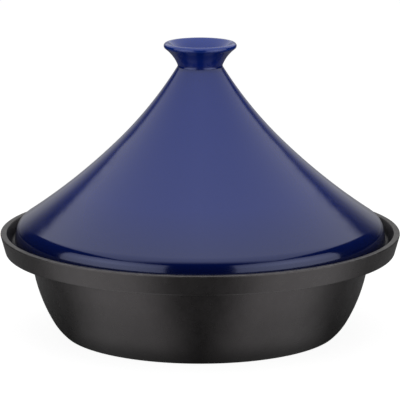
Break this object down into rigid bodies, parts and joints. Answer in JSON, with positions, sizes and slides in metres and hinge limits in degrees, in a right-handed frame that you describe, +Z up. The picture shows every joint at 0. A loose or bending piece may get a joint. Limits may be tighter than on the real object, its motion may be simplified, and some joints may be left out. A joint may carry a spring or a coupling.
{
  "type": "tagine pot",
  "caption": "Round cast-iron dish with a gallery round its rim, and a tall conical glazed stoneware lid with a cup-shaped knob, for slow cooking.",
  "frame": {"origin": "centre of the foot, on the surface that the dish stands on", "axes": "+Z up along the axis that all three pieces are turned about; the lid lifts along it"},
  "size_m": [0.32, 0.32, 0.2334],
  "materials": {
    "black_iron": "matt black, fine cast grain",
    "blue_glaze": "glossy cobalt blue glaze"
  },
  "bodies": {
    "base": {"base_dish": "black_iron"},
    "lid": {"lid_cone": "blue_glaze", "lid_knob": "blue_glaze"}
  },
  "joints": [
    {"name": "lid_lift", "type": "slide", "parent": "base", "child": "lid", "axis": [0, 0, 1], "range_m": [0, 0.15]}
  ]
}
